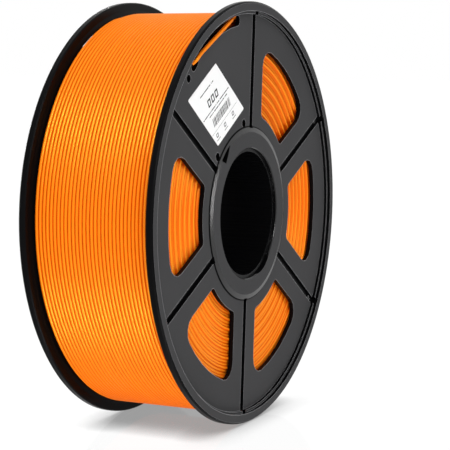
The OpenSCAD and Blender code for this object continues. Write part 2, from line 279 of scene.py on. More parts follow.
def add(tree, kind, links=None, **settings):
    """Adds one node. links maps an input to the output that feeds it, or to a
    constant. settings are the node's own options."""
    node = tree.nodes.new(kind)
    for key, value in settings.items():
        setattr(node, key, value)
    for key, value in (links or {}).items():
        if isinstance(value, bpy.types.NodeSocket):
            tree.links.new(value, node.inputs[key])
        else:
            node.inputs[key].default_value = value
    return node


def surface(tree, share, shader, other):
    """Puts a mix of two shaders on the surface, the share being the other's."""
    both = add(tree, "ShaderNodeMixShader",
               {0: share, 1: shader.outputs[0], 2: other.outputs[0]})
    add(tree, "ShaderNodeOutputMaterial", {"Surface": both.outputs[0]})


def rgba(colour):
    """The colour with full opacity."""
    return (*colour, 1)


def backdrop_ray(tree):
    """Output that is 1 for a ray from the camera, also by way of a mirror or glass."""
    path = add(tree, "ShaderNodeLightPath")
    seen = add(tree, "ShaderNodeMath",
               {0: path.outputs["Is Camera Ray"], 1: path.outputs["Is Glossy Ray"]},
               operation="ADD")
    seen = add(tree, "ShaderNodeMath",
               {0: seen.outputs[0], 1: path.outputs["Is Transmission Ray"]},
               operation="ADD", use_clamp=True)
    return seen.outputs[0]


def edge_highlight(tree, radius):
    """Output that rises from 0 to 0.9 where the surface turns within the radius:
    the share of the painted highlight along an edge."""
    rounded = add(tree, "ShaderNodeBevel", {"Radius": radius}, samples=8)
    geometry = add(tree, "ShaderNodeNewGeometry")
    turned = add(tree, "ShaderNodeVectorMath",
                 {0: rounded.outputs[0], 1: geometry.outputs["Normal"]},
                 operation="DOT_PRODUCT")
    edge_glint = add(tree, "ShaderNodeMapRange",
               {"Value": turned.outputs["Value"], "From Min": 0.98, "From Max": 0.92,
                "To Min": 0.0, "To Max": 0.9})
    return edge_glint.outputs[0]


def textured_polystyrene(finish):
    """Black high-impact polystyrene, injection moulded. The tool's spark-eroded
    faces leave a fine even grain that scatters light, so the outward faces look
    dark grey; its edges and walls are polished and look black. Groove floors and
    other faces lower than the panel get the polished finish too, its near-black
    standing there as painted shade; a band round the hub ring's foot gets it as a
    painted shadow line, and the faces' edges carry a painted highlight."""
    # Textured: faces that point mostly outwards and lie no lower than just below the panel; lower
    # ones, such as groove floors, get the polished near-black as painted shade
    mostly, just_below = 0.8, 0.3 * MM
    # A band round the hub ring's foot gets the polished near-black as a painted shadow line
    foot_shadow_r, foot_shadow_half = HUB_FOOT_R + 0.2 * MM, 0.4 * MM
    # The hub ring's slope leans about 14 degrees, whose cosine is 0.97
    slope_out, slope_half = 0.97, 0.02
    material, tree = new_material("Moulded_black_polystyrene")
    coordinate = add(tree, "ShaderNodeTexCoord")
    place = add(tree, "ShaderNodeSeparateXYZ", {0: coordinate.outputs["Object"]})
    facing = add(tree, "ShaderNodeSeparateXYZ", {0: coordinate.outputs["Normal"]})
    height = add(tree, "ShaderNodeMath", {0: place.outputs["Y"]}, operation="ABSOLUTE")
    side = add(tree, "ShaderNodeMath", {0: place.outputs["Y"]}, operation="SIGN")
    outward = add(tree, "ShaderNodeMath", {0: facing.outputs["Y"], 1: side.outputs[0]},
                  operation="MULTIPLY")
    is_face = add(tree, "ShaderNodeMath", {0: outward.outputs[0], 1: mostly},
                  operation="GREATER_THAN")
    above_floor_shade = add(tree, "ShaderNodeMath", {0: height.outputs[0], 1: PANEL_OUT - just_below},
                  operation="GREATER_THAN")
    textured = add(tree, "ShaderNodeMath", {0: is_face.outputs[0], 1: above_floor_shade.outputs[0]},
                   operation="MULTIPLY")
    # The grain is about 0.1 mm; drawn at 0.35 mm so that it shows at all
    grain = add(tree, "ShaderNodeTexNoise",
                {"Vector": coordinate.outputs["Object"], "Scale": 1 / (0.35 * MM), "Detail": 2.0})
    # Faint flow shades of the moulding, about 40 mm across
    flow = add(tree, "ShaderNodeTexNoise",
               {"Vector": coordinate.outputs["Object"], "Scale": 1 / (40 * MM), "Detail": 1.0})
    shade = add(tree, "ShaderNodeMapRange",
                {"Value": flow.outputs["Fac"], "From Min": 0.3, "From Max": 0.7,
                 "To Min": 0.95, "To Max": 1.05})
    bright = add(tree, "ShaderNodeVectorMath",
                 {0: finish.textured, "Scale": shade.outputs[0]}, operation="SCALE")
    # Faces get a painted highlight along their edges, but not round the hub
    flat = add(tree, "ShaderNodeVectorMath",
               {0: coordinate.outputs["Object"], 1: (1, 0, 1)}, operation="MULTIPLY")
    from_axis = add(tree, "ShaderNodeVectorMath", {0: flat.outputs[0]}, operation="LENGTH")
    # Painted shadow line: 1 in the band round the hub ring's foot
    corner = add(tree, "ShaderNodeMath",
                 {0: from_axis.outputs["Value"], 1: foot_shadow_r, 2: foot_shadow_half},
                 operation="COMPARE")
    # Textured faces, less the painted shadow line
    faces = add(tree, "ShaderNodeMath", {0: textured.outputs[0], 1: corner.outputs[0]},
                operation="SUBTRACT", use_clamp=True)
    beyond_hub = add(tree, "ShaderNodeMath",
                     {0: from_axis.outputs["Value"], 1: HUB_FOOT_R + 1 * MM},
                     operation="GREATER_THAN")
    glint_faces = add(tree, "ShaderNodeMath", {0: beyond_hub.outputs[0], 1: faces.outputs[0]},
                  operation="MULTIPLY")
    edge_glint = add(tree, "ShaderNodeMath", {0: edge_highlight(tree, 0.45 * MM), 1: glint_faces.outputs[0]},
               operation="MULTIPLY")
    # The hub ring's slope and the bore's chamfer are burnished by the holder
    slope = add(tree, "ShaderNodeMath", {0: outward.outputs[0], 1: slope_out, 2: slope_half},
                operation="COMPARE")
    chamfer = add(tree, "ShaderNodeMath", {0: from_axis.outputs["Value"], 1: CHAMFER_R},
                  operation="LESS_THAN")
    burnish = add(tree, "ShaderNodeMath", {0: slope.outputs[0], 1: chamfer.outputs[0]},
                  operation="MAXIMUM")
    rough = add(tree, "ShaderNodeMapRange",
                {"Value": textured.outputs[0], "To Min": 0.3, "To Max": 0.62})
    relief = add(tree, "ShaderNodeMath",
                 {0: grain.outputs["Fac"], 1: textured.outputs[0]}, operation="MULTIPLY")
    bump = add(tree, "ShaderNodeBump",
               {"Height": relief.outputs[0], "Strength": 0.25, "Distance": 0.03 * MM})
    colour = add(tree, "ShaderNodeMix",
                 {"Factor": faces.outputs[0], "A": rgba(finish.polished),
                  "B": bright.outputs[0]}, data_type="RGBA")
    glinting = add(tree, "ShaderNodeMix",
               {"Factor": edge_glint.outputs[0], "A": colour.outputs["Result"],
                "B": rgba(finish.highlighted)}, data_type="RGBA")
    moulded = add(tree, "ShaderNodeBsdfPrincipled",
                  {"Base Color": glinting.outputs["Result"], "Roughness": rough.outputs[0],
                   "Normal": bump.outputs[0], "IOR": 1.59, "Specular IOR Level": 0.03})
    burnished = add(tree, "ShaderNodeBsdfPrincipled",
                    {"Base Color": rgba(finish.polished), "Roughness": 0.2,
                     "IOR": 1.59, "Specular IOR Level": 0.26})
    surface(tree, burnish.outputs[0], moulded, burnished)
    return material


def polished_polystyrene(finish):
    """Black polystyrene moulded on polished cores: a smooth near-black wall with
    soft reflections and faint draw lines along the axis."""
    material, tree = new_material("Polished_black_polystyrene")
    coordinate = add(tree, "ShaderNodeTexCoord")
    # Draw lines: long along the axis, about 1 mm apart round it
    stretch = add(tree, "ShaderNodeMapping",
                  {"Vector": coordinate.outputs["Object"], "Scale": (1, 0.02, 1)})
    lines = add(tree, "ShaderNodeTexNoise",
                {"Vector": stretch.outputs[0], "Scale": 1 / (1 * MM), "Detail": 1.0})
    rough = add(tree, "ShaderNodeMapRange",
                {"Value": lines.outputs["Fac"], "To Min": 0.2, "To Max": 0.34})
    bump = add(tree, "ShaderNodeBump",
               {"Height": lines.outputs["Fac"], "Strength": 0.12, "Distance": 0.02 * MM})
    # The sleeve's end gets a faint painted highlight along its edges, in the textured grey
    colour = add(tree, "ShaderNodeMix",
                 {"Factor": edge_highlight(tree, 0.15 * MM), "A": rgba(finish.polished),
                  "B": rgba(finish.textured)}, data_type="RGBA")
    plastic = add(tree, "ShaderNodeBsdfPrincipled",
                  {"Base Color": colour.outputs["Result"], "Roughness": rough.outputs[0],
                   "Normal": bump.outputs[0], "IOR": 1.59, "Specular IOR Level": 0.04})
    add(tree, "ShaderNodeOutputMaterial", {"Surface": plastic.outputs[0]})
    return material


def extruded_pla(finish, name, crest, variation, pearl_share):
    """Orange PLA filament with a little pearl pigment, extruded and water cooled:
    a bright plastic whose highlights are golden, with painted shade that makes
    the gaps between strands a deeper, redder orange.

    crest is the colour of a strand's crest: the filament's own colour, or a
    lighter one that paints highlights on the inner layers' crests. variation says
    what its tone follows: "strand", the length along the strand, or "layer", the
    layer that a point of the winding's side belongs to. pearl_share is how much of
    the light the pigment returns. The attributes gap and depth, which drive painted
    shade, count as 0 on a piece that has none.
    """
    material, tree = new_material(name)
    coordinate = add(tree, "ShaderNodeTexCoord")
    if variation == "strand":
        # Tone drifts slowly, over about 250 mm of filament
        length = add(tree, "ShaderNodeAttribute", attribute_name="strand_length")
        drift = add(tree, "ShaderNodeTexNoise",
                    {"W": length.outputs["Fac"], "Scale": 1 / (250 * MM), "Detail": 2.0},
                    noise_dimensions="1D")
    else:
        # Each layer's tone drifts in its own way, over about 60 mm
        layer = add(tree, "ShaderNodeAttribute", attribute_name="layer")
        place = add(tree, "ShaderNodeVectorMath",
                    {0: coordinate.outputs["Object"], "Scale": 1 / (60 * MM)}, operation="SCALE")
        drift = add(tree, "ShaderNodeTexNoise",
                    {"Vector": place.outputs[0], "W": layer.outputs["Fac"], "Scale": 1.0,
                     "Detail": 1.0}, noise_dimensions="4D")
    tone = add(tree, "ShaderNodeMapRange",
               {"Value": drift.outputs["Fac"], "From Min": 0.3, "From Max": 0.7,
                "To Min": 0.8, "To Max": 1.0})
    # Painted shade: the gaps between strands are coloured a deeper, redder orange than their
    # crests
    gap = add(tree, "ShaderNodeAttribute", attribute_name="gap")
    mix = add(tree, "ShaderNodeMath", {0: tone.outputs[0], 1: gap.outputs["Fac"]},
              operation="SUBTRACT", use_clamp=True)
    colour = add(tree, "ShaderNodeMix",
                 {"Factor": mix.outputs[0], "A": rgba(finish.strand_gap_shade),
                  "B": rgba(crest)}, data_type="RGBA")
    # Skin ripple of the extrusion, about 0.6 mm
    skin = add(tree, "ShaderNodeTexNoise",
               {"Vector": coordinate.outputs["Object"], "Scale": 1 / (0.6 * MM), "Detail": 1.0})
    rough = add(tree, "ShaderNodeMapRange",
                {"Value": skin.outputs["Fac"], "To Min": 0.3, "To Max": 0.38})
    bump = add(tree, "ShaderNodeBump",
               {"Height": skin.outputs["Fac"], "Strength": 0.05, "Distance": 0.02 * MM})
    # Painted shade: the deeper a point of the side lies behind the flange, the less light reaches
    # it, so its colour and gloss tint are painted darker, to near black in the hollow behind the
    # slot
    depth = add(tree, "ShaderNodeAttribute", attribute_name="depth")
    painted_lit_share = add(tree, "ShaderNodeMapRange",
                     {"Value": depth.outputs["Fac"], "From Min": 0.8 * MM,
                      "From Max": SLOT_ROOM, "To Min": 1.0, "To Max": 0.02},
                     interpolation_type="SMOOTHSTEP")
    shaded = add(tree, "ShaderNodeVectorMath",
                 {0: colour.outputs["Result"], "Scale": painted_lit_share.outputs[0]},
                 operation="SCALE")
    body = add(tree, "ShaderNodeBsdfPrincipled",
               {"Base Color": shaded.outputs[0], "Roughness": rough.outputs[0],
                "Normal": bump.outputs[0], "IOR": 1.46, "Specular IOR Level": 0.05,
                "Specular Tint": rgba(finish.strand_gloss)})
    # The pearl pigment's flakes lie along the skin and mirror light in gold
    glow = add(tree, "ShaderNodeVectorMath",
               {0: finish.strand_gloss, "Scale": painted_lit_share.outputs[0]}, operation="SCALE")
    pearl = add(tree, "ShaderNodeBsdfPrincipled",
                {"Base Color": glow.outputs[0], "Roughness": rough.outputs[0],
                 "Normal": bump.outputs[0], "Metallic": 1.0,
                 "Specular Tint": rgba(finish.strand_gloss)})
    surface(tree, pearl_share, body, pearl)
    return material


def coated_paper(finish):
    """Thermal label paper: bright white with a satin coat and a faint mottle."""
    material, tree = new_material("Coated_label_paper")
    coordinate = add(tree, "ShaderNodeTexCoord")
    # Fibre mottle under the coat, about 0.8 mm
    mottle = add(tree, "ShaderNodeTexNoise",
                 {"Vector": coordinate.outputs["Object"], "Scale": 1 / (0.8 * MM), "Detail": 3.0})
    rough = add(tree, "ShaderNodeMapRange",
                {"Value": mottle.outputs["Fac"], "To Min": 0.4, "To Max": 0.55})
    shade = add(tree, "ShaderNodeMapRange",
                {"Value": mottle.outputs["Fac"], "To Min": 0.97, "To Max": 1.0})
    colour = add(tree, "ShaderNodeVectorMath",
                 {0: finish.paper, "Scale": shade.outputs[0]}, operation="SCALE")
    bump = add(tree, "ShaderNodeBump",
               {"Height": mottle.outputs["Fac"], "Strength": 0.1, "Distance": 0.01 * MM})
    paper = add(tree, "ShaderNodeBsdfPrincipled",
                {"Base Color": colour.outputs[0], "Roughness": rough.outputs[0],
                 "Normal": bump.outputs[0], "IOR": 1.5, "Specular IOR Level": 0.4})
    add(tree, "ShaderNodeOutputMaterial", {"Surface": paper.outputs[0]})
    return material


def thermal_ink(finish):
    """Thermal transfer print: matt black with a slightly uneven lay."""
    material, tree = new_material("Thermal_print")
    coordinate = add(tree, "ShaderNodeTexCoord")
    lay = add(tree, "ShaderNodeTexNoise",
              {"Vector": coordinate.outputs["Object"], "Scale": 1 / (0.5 * MM), "Detail": 2.0})
    rough = add(tree, "ShaderNodeMapRange",
                {"Value": lay.outputs["Fac"], "To Min": 0.5, "To Max": 0.7})
    ink = add(tree, "ShaderNodeBsdfPrincipled",
              {"Base Color": rgba(finish.print_ink), "Roughness": rough.outputs[0],
               "Specular IOR Level": 0.3})
    add(tree, "ShaderNodeOutputMaterial", {"Surface": ink.outputs[0]})
    return material


def white_table():
    """Satin white table that the camera sees as plain white where nothing shades it,
    with the reel's soft shadow painted in and a trace of its reflection."""
    material, tree = new_material("Satin_white_table")
    coordinate = add(tree, "ShaderNodeTexCoord")
    # Orange-peel of the lacquer, about 8 mm
    peel = add(tree, "ShaderNodeTexNoise",
               {"Vector": coordinate.outputs["Object"], "Scale": 1 / (8 * MM), "Detail": 1.0})
    bump = add(tree, "ShaderNodeBump",
               {"Height": peel.outputs["Fac"], "Strength": 0.02, "Distance": 0.1 * MM})
    lacquer = add(tree, "ShaderNodeBsdfPrincipled",
                  {"Base Color": rgba(linear("#cbcbcb")), "Roughness": 0.4,
                   "Specular IOR Level": 0.06, "Normal": bump.outputs[0]})
    # What the camera sees is white less the share of the sky that the reel hides:
    # a painted shadow that stays neutral, under a coat that reflects a little
    hidden = add(tree, "ShaderNodeAmbientOcclusion", {"Distance": 19 * MM}, samples=16)
    shadow = add(tree, "ShaderNodeMapRange",
                 {"Value": hidden.outputs["AO"], "From Min": 0.3, "From Max": 0.95,
                  "To Min": 0.36, "To Max": 1.04})
    lift = add(tree, "ShaderNodeEmission",
               {"Color": (1, 1, 1, 1), "Strength": shadow.outputs[0]})
    coat = add(tree, "ShaderNodeBsdfGlossy", {"Roughness": 0.08, "Normal": bump.outputs[0]})
    both = add(tree, "ShaderNodeMixShader", {0: 0.06, 1: lift.outputs[0], 2: coat.outputs[0]})
    surface(tree, backdrop_ray(tree), lacquer, both)
    return material


def dress(piece, material):
    """Gives a piece one material."""
    piece.data.materials.clear()
    piece.data.materials.append(material)


# ---------------------------------------------------------------- operators

class REEL_OT_flanges(bpy.types.Operator):
    """Gives both flanges their moulded plastic"""
    bl_idname = "reel.flanges"
    bl_label = "Flanges"

    def execute(self, context):
        material = textured_polystyrene(context.scene.reel_finish)
        for name in ("front_flange", "rear_flange"):
            dress(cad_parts[name], material)
        return {"FINISHED"}


class REEL_OT_hub(bpy.types.Operator):
    """Gives the hub barrel and the bore sleeve their polished plastic"""
    bl_idname = "reel.hub"
    bl_label = "Hub"

    def execute(self, context):
        material = polished_polystyrene(context.scene.reel_finish)
        for name in ("hub_barrel", "bore_sleeve"):
            dress(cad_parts[name], material)
        return {"FINISHED"}


class REEL_OT_outer_layer(bpy.types.Operator):
    """Winds the outermost layer and threads its free end through the flange"""
    bl_idname = "reel.outer_layer"
    bl_label = "Outer layer"

    RINGS = 128      # points of the route in each turn
    SIDES = 12       # sides of the strand
    SPAN_STEPS = 8   # points of the route between two points of the free end
    DIVE = math.radians(16)   # the strand's start sinks into the layer below over this angle
    DIVE_DEPTH = 1.7 * MM
    STRETCH_R = REEL_R - 9.6 * MM         # the straight stretch's distance from the axis
    STRETCH_OUT = PANEL_OUT + 0.955 * MM  # and its distance out, just clear of the panel
    # Cosines of the angles round a strand, from its outside, where the crest ends and
    # where the gap starts, in which the painted shade is full
    CREST_COS, GAP_COS = 0.75, 0.25
    # The free end, from the middle of the straight stretch: along it, away from
    # the axis and out, in mm
    FREE_END = (
        (-34.5, -3.1, -3.4), (-31.4, -2.3, -3.2), (-28.2, -1.7, -2.5), (-25, -0.9, -1.4),
        (-22, -0.3, -0.5), (-18.5, 0, -0.1), (-14, 0, 0), (-9.5, 0, 0), (-5, 0, 0),
        (-0.5, 0, 0), (4, 0, 0), (8.5, 0, 0), (13.4, -0.1, 0), (15.6, -0.5, -0.1),
        (17.1, -1, -0.5), (18.2, -1.5, -1.2), (18.9, -1.9, -1.9))

    def turns(self, winding):
        """A helix of even pitch from the rear end to the front one. Its first few
        degrees sink towards the axis along a smooth step, 3 s squared - 2 s cubed."""
        radius = REEL_R - winding.depth - winding.diameter / 2
        end_out = PACK_OUT - winding.end_room
        share = np.linspace(0, 1, winding.turns * self.RINGS + 1)
        angle = winding.layer_end - 2 * math.pi * winding.turns * (1 - share)
        sunk = np.clip(1 - (angle - angle[0]) / self.DIVE, 0, 1)
        radius = radius - self.DIVE_DEPTH * sunk ** 2 * (3 - 2 * sunk)
        return at(radius, angle, end_out * (2 * share - 1))

    def free_end(self):
        """The chosen points, carried to the plain sector: each number times its
        direction, which is along the stretch, away from the axis or out."""
        p = np.array(self.FREE_END) * MM
        away = np.array([math.cos(PLAIN_MID), 0, math.sin(PLAIN_MID)])
        along = np.array([-math.sin(PLAIN_MID), 0, math.cos(PLAIN_MID)])
        out = np.array([0, -1, 0])
        return (p[:, :1] * along + (self.STRETCH_R + p[:, 1:2]) * away
                + (self.STRETCH_OUT + p[:, 2:]) * out)

    def execute(self, context):
        winding = context.scene.reel_winding
        turns = self.turns(winding)
        leaving = turns[-1] + unit(turns[-1] - turns[-2]) * winding.diameter
        bridge = smooth_route(np.concatenate([turns[-1:], [leaving], self.free_end()]),
                              self.SPAN_STEPS)
        route = np.concatenate([turns, bridge[1:]])
        points, faces = tube(route, winding.diameter / 2, self.SIDES)
        strand = new_piece("filament_strand", points, faces,
                           ("filament_turns", "filament_end"))
        steps = np.linalg.norm(np.diff(route, axis=0), axis=1)
        length = np.repeat(np.concatenate([[0], np.cumsum(steps)]), self.SIDES)
        # The sides of each turn that face its neighbours lie in a gap and get painted shade, and
        # the free end's don't
        round_strand = np.arange(self.SIDES) * 2 * math.pi / self.SIDES
        sunk = (self.CREST_COS - np.cos(round_strand)) / (self.CREST_COS - self.GAP_COS)
        gap = np.tile(np.clip(sunk, 0, 1), len(route))
        gap[len(turns) * self.SIDES:] = 0
        set_attribute(strand, "strand_length", length)
        set_attribute(strand, "gap", gap)
        finish = context.scene.reel_finish
        dress(strand, extruded_pla(finish, "Extruded_orange_PLA", finish.strand, "strand", 0.2))
        return {"FINISHED"}


class REEL_OT_inner_layers(bpy.types.Operator):
    """Fills the reel with the layers that show through the windows"""
    bl_idname = "reel.inner_layers"
    bl_label = "Inner layers"

    ANGLES = 240          # points round the axis
    ACROSS = 7            # points across one strand of the side
    TOP_GAP = 0.05 * MM   # room under the outermost layer
    CREST = 0.4 * MM      # height of the ridges under the outermost layer
    LAP = 0.3 * MM        # how far the front half and the rear half reach into each other
    RIDGE_POINTS = 6      # points along the outside in each turn
    WALL_EVERY = 3        # every third layer reaches the wall, and the others end short
    SHORT = 1.7 * MM      # the most by which they end short
    # The share of that by which they do: its mean, and its swing round the reel
    SHORT_MEAN, SHORT_SWING = 0.75, 0.45
    SWAY = 0.06 * MM      # uneven lay of the side's strands
    SWAYS = 3             # sways in one turn
    SWAY_SHIFT = 2.4      # by which the sway's phase moves from layer to layer
    GAP_RISE = 2 / 3      # share of a strand's rise below which its side lies in the gap
    SLOT_IN_R = 80 * MM   # where the hollow behind the slot starts
    SLOT_BLEND = 1.5 * MM  # over which it deepens
    SLOT_SPREAD = math.radians(9)  # over which it fades out round the reel
    SLOT_HALF = 2.5       # from its middle to its end, in such spreads
    NOWHERE = -1.0        # less than any strand's distance out

    def top(self, winding):
        """Radius of the inner layers' outside."""
        return REEL_R - winding.depth - winding.diameter - self.TOP_GAP

    def wall(self, radius):
        """Distance out of the flange's back, which the winding leans on: level, and
        rising at an even slope beyond the start of the flare."""
        return PACK_OUT + FLARE_SLOPE * np.maximum(0, radius - FLARE_IN_R)

    def behind_slot(self, radius, angle):
        """1 in the hollow behind the filament slot, 0 away from it, and an even
        slope between the two."""
        return (np.clip((radius - self.SLOT_IN_R) / self.SLOT_BLEND, 0, 1)
                * np.clip(self.SLOT_HALF - np.abs(angle - PLAIN_MID) / self.SLOT_SPREAD, 0, 1))

    def side(self, winding, radius, angle, phase):
        """Distance out of the winding's side, and how deep in a gap it lies, 0 to 1, for its
        painted shade.

        The side is the highest of the strands of the nearest layers, each a
        circle across the layer. Two layers of every three end short of the wall,
        by most of a strand at the top of the reel and a third of one at its foot,
        and all of them end short behind the filament slot."""
        step, r = winding.layer_step, winding.diameter / 2
        top_r = self.top(winding) - r
        wall = self.wall(radius)
        hollow = SLOT_ROOM * self.behind_slot(radius, angle)
        nearest = np.round((top_r - radius) / step)
        uneven = np.minimum(1, self.SHORT_MEAN + self.SHORT_SWING * np.sin(angle + phase))
        best = np.full(np.broadcast_shapes(radius.shape, angle.shape), self.NOWHERE)
        gap = np.ones(best.shape)
        for offset in (-1, 0, 1):
            layer = nearest + offset
            short = np.where(layer % self.WALL_EVERY == 0, 0, self.SHORT * uneven)
            sway = self.SWAY * np.sin(self.SWAYS * angle + layer * self.SWAY_SHIFT)
            centre = wall - r - short - self.SWAY + sway - hollow
            rise = np.sqrt(np.maximum(0, r ** 2 - (radius - (top_r - layer * step)) ** 2))
            reach = np.where(rise > 0, centre + rise, self.NOWHERE)
            sunk = np.minimum(1, (1 - rise / r) / (1 - self.GAP_RISE))
            gap = np.where(reach > best, sunk, gap)
            best = np.maximum(best, reach)
        return best, gap

    def half(self, context, name, sign, phase):
        """A body of revolution with a rippled skin: from the barrel at the middle
        plane out to the side, over the side layer by layer, and back along the
        outside, whose ridges lie in the gaps of the outermost layer. sign is 1 for
        the labelled end and -1 for the other one."""
        winding = context.scene.reel_winding
        angle = np.arange(self.ANGLES) * 2 * math.pi / self.ANGLES
        outer_r = self.top(winding)
        count = int(round((outer_r - BARREL_R) / winding.layer_step)) * self.ACROSS
        side_r = np.linspace(BARREL_R, outer_r - self.CREST, count)[:, None]
        side, side_gap = self.side(winding, side_r, angle[None, :], phase)
        edge_out = side[-1:, :]
        share = np.linspace(1, 0, winding.turns // 2 * self.RIDGE_POINTS)[1:, None]
        top_out = edge_out * share - self.LAP * (1 - share)
        pitch = 2 * (PACK_OUT - winding.end_room) / winding.turns
        top_r = outer_r - self.CREST * (0.5 - 0.5 * np.cos(2 * math.pi * top_out / pitch))
        foot = np.full((1, self.ANGLES), BARREL_R)
        radius = np.concatenate([foot, np.broadcast_to(side_r, side.shape), top_r])
        out = np.concatenate([np.full((1, self.ANGLES), -self.LAP), side, top_out])
        points = at(radius, angle[None, :], sign * out)
        faces = grid_faces(len(radius), self.ANGLES, True, True)
        if sign < 0:
            faces = faces[:, ::-1]
        piece = new_piece(name, points.reshape(-1, 3), faces.tolist(),
                          ("filament_pack",))
        layer = np.round((outer_r - winding.diameter / 2 - radius) / winding.layer_step)
        set_attribute(piece, "layer", layer)
        # Both are 0 at the foot and along the outside
        for attribute, values in (("depth", self.wall(side_r) - side), ("gap", side_gap)):
            everywhere = np.zeros(out.shape)
            everywhere[1:1 + len(side)] = values
            set_attribute(piece, attribute, everywhere)
        return piece

    def execute(self, context):
        finish = context.scene.reel_finish
        material = extruded_pla(finish, "Wound_orange_PLA", finish.strand_crest_highlight, "layer", 0.14)
        for name, sign, phase in (("inner_layers_front", 1, 0.0),
                                  ("inner_layers_rear", -1, 0.4)):
            dress(self.half(context, name, sign, phase), material)
        return {"FINISHED"}


class REEL_OT_label(bpy.types.Operator):
    """Puts the label and its plain marks on the flange"""
    bl_idname = "reel.label"
    bl_label = "Label"

    CORNER_STEPS = 6      # points round each corner
    EDGE = 0.04 * MM      # rounding of the cut edge
    SEED = 7              # of the draws for the dashes and the code

    # The marks, in mm from the label's middle: along the lines of print, and down from them
    RULES = (             # along, down, length, height, cuts into dashes
        (-13, -11.8, 15.1, 0.55, 9), (-15.3, -0.9, 29.6, 0.5, 22), (-9.8, 0.8, 20.9, 0.5, 16))
    DASH_GAP = 0.3
    DASH_LEAST = 0.25     # dashes up to this long are left out
    CODE_AT = (-7.6, 3.3)  # along, down
    CODE_SIZE = (19.6, 4.3)
    CODE_WIDTHS = 40      # widths drawn for the code's bars and gaps
    CODE_STEP = 0.26      # a bar or a gap is 1 to 3 of these wide
    THIN_RULE = (-11, 9.7, 29, 0.12)
    # Blocks: each one's place along, then down, width, height and stroke of them all
    CAPTIONS = (-7.6, 1.4, 10.9)
    CAPTION_BLOCK = (11.2, 2.0, 2.0, 0.4)
    CAPTION_RULE = (-0.6, 14.2, 3.8, 0.3)  # along from its block, down, length, height
    LARGE_BLOCKS = tuple(-7.7 + 4.1 * i for i in range(3))
    LARGE_BLOCK = (-6.8, 3.0, 3.8, 0.75)

    def sides(self, label):
        """Directions of the lines of print and of the leaning side, as unit vectors."""
        lean = label.turn - label.lean
        return (np.array([math.cos(label.turn), math.sin(label.turn)]),
                np.array([math.cos(lean), math.sin(lean)]))

    def middle(self):
        """Middle of the label's place on the flange."""
        low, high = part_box("label")
        return np.array([low.x + high.x, low.z + high.z]) / 2

    def outline(self, label, inset):
        """A leaning four-sided outline, each corner a circle's arc that touches
        both sides, drawn in by inset all round. An arc's centre lies on the
        corner's bisector, at the radius over the sine of half the corner."""
        along, down = self.sides(label)
        corners = np.array([-along * label.width - down * label.height,
                            down * label.height - along * label.width,
                            down * label.height + along * label.width,
                            along * label.width - down * label.height]) / 2
        before = unit(np.roll(corners, 1, axis=0) - corners)
        after = unit(np.roll(corners, -1, axis=0) - corners)
        half = np.arccos((before * after).sum(1)) / 2
        centre = corners + unit(before + after) * (label.corner / np.sin(half))[:, None]
        first = np.arctan2(before[:, 0], -before[:, 1])
        steps = np.linspace(0, 1, self.CORNER_STEPS)[None, :]
        sweep = math.pi - 2 * half
        turn = first[:, None] + sweep[:, None] * steps
        ring = centre[:, None] + (label.corner - inset) * np.stack(
            [np.cos(turn), np.sin(turn)], axis=-1)
        return self.middle() + ring.reshape(-1, 2)

    def execute(self, context):
        label = context.scene.reel_label
        finish = context.scene.reel_finish
        # How far the outline is drawn in, and how high, at the foot, the edge and the top
        levels = ((0, 0), (0, LABEL_T - self.EDGE), (self.EDGE, LABEL_T))
        rings = [self.outline(label, inset) for inset, _ in levels]
        outs = [LABEL_FACE + rise for _, rise in levels]
        points = np.concatenate([
            np.stack([ring[:, 0], np.full(len(ring), -out), ring[:, 1]], axis=-1)
            for ring, out in zip(rings, outs)])
        count = len(rings[0])
        faces = grid_faces(len(levels), count, False, True)[:, ::-1].tolist()
        faces.append(list(range(count - 1, -1, -1)))
        faces.append(list(range(2 * count, 3 * count)))
        sheet = new_piece("label_sheet", points, faces, ("label",), smooth=False)
        dress(sheet, coated_paper(finish))
        self.print_marks(label, finish)
        return {"FINISHED"}

    def marks(self):
        """Plain bars in the places of the print. Each is its start along and down
        the label, its length and its height, in mm."""
        rng = np.random.default_rng(self.SEED)
        bars = []
        # Heading rule and two rules of fine print, broken into dashes
        for along, down, length, height, dashes in self.RULES:
            cuts = np.sort(rng.uniform(0, length, dashes))
            starts = np.concatenate([[0], cuts + self.DASH_GAP])
            ends = np.concatenate([cuts, [length]])
            bars += [(along + start, down, end - start, height)
                     for start, end in zip(starts, ends) if end - start > self.DASH_LEAST]
        # Bars of a plain code: every other width is a bar, and the rest are gaps
        widths = rng.integers(1, 4, self.CODE_WIDTHS) * self.CODE_STEP
        edges = np.cumsum(widths)
        along, down = self.CODE_AT
        length, height = self.CODE_SIZE
        bars += [(along + edges[i], down, widths[i + 1], height)
                 for i in range(0, self.CODE_WIDTHS - 1, 2) if edges[i + 1] < length]
        # Thin rule, a row of short captions under it, and blocks in the large line's place
        bars.append(self.THIN_RULE)
        beside, *rule = self.CAPTION_RULE
        for along in self.CAPTIONS:
            bars += self.block(along, *self.CAPTION_BLOCK)
            bars.append((along + beside, *rule))
        for along in self.LARGE_BLOCKS:
            bars += self.block(along, *self.LARGE_BLOCK)
        return bars

    def block(self, along, down, wide, high, stroke):
        """Four strokes round an open block."""
        return [(along, down, wide, stroke), (along, down + high - stroke, wide, stroke),
                (along, down + stroke, stroke, high - 2 * stroke),
                (along + wide - stroke, down + stroke, stroke, high - 2 * stroke)]

